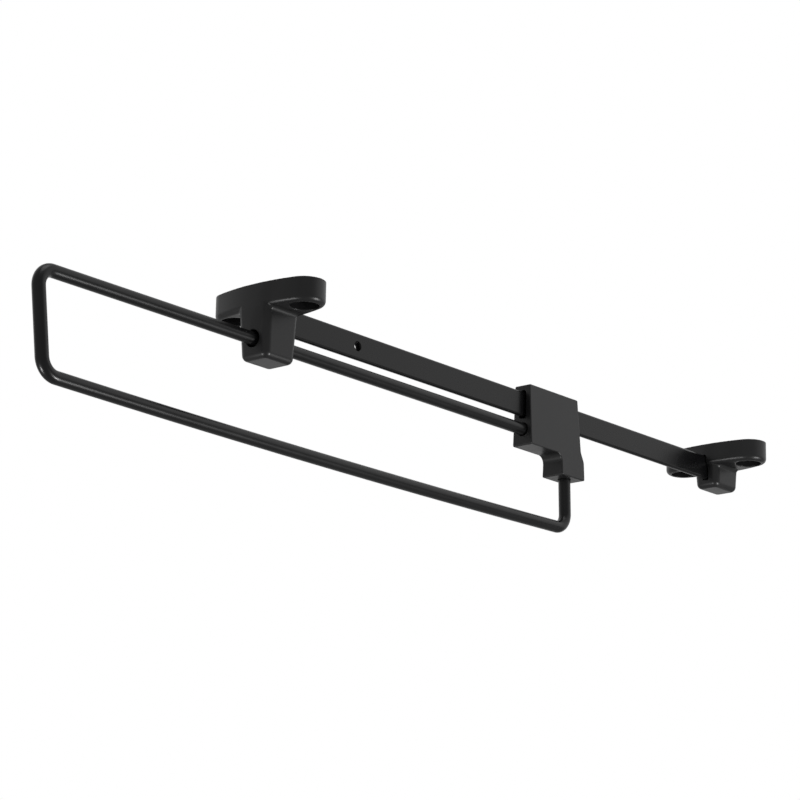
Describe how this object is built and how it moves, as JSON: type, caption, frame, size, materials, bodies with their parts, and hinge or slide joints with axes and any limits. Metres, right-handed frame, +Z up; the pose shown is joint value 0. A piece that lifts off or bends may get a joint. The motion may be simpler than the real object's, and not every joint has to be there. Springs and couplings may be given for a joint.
{
  "type": "pull-out clothes rail",
  "caption": "Slim black pull-out clothes rail for the underside of a shelf: a bent wire loop for hangers on a slider that runs along a flat guide bar between moulded brackets.",
  "frame": {"origin": "on the front bracket's upper mounting face, midway between its two screw holes", "axes": "+Z up towards the shelf, +Y along the guide bar towards the back of the wardrobe, +X to the user's right; the rail pulls out along -Y"},
  "size_m": [0.073, 0.6177, 0.0887],
  "materials": {
    "moulding": "satin-matt black nylon",
    "bar_coat": "satin black powder coat",
    "wire_coat": "semi-gloss black powder coat",
    "glide": "smooth black acetal",
    "pin_steel": "bright zinc plate"
  },
  "bodies": {
    "frame": {"guide_bar": "bar_coat", "front_bracket": "moulding", "rear_bracket": "moulding", "rod_bush": "glide", "front_bar_pin": "pin_steel", "rear_bar_pin": "pin_steel"},
    "carriage": {"slider_body": "moulding", "glide_sleeve": "glide", "hanger_loop": "wire_coat", "upper_loop_pin": "pin_steel", "lower_loop_pin": "pin_steel"}
  },
  "joints": [
    {"name": "carriage_slide", "type": "slide", "parent": "frame", "child": "carriage", "axis": [0, -1, 0], "range_m": [-0.142, 0.2095]}
  ]
}
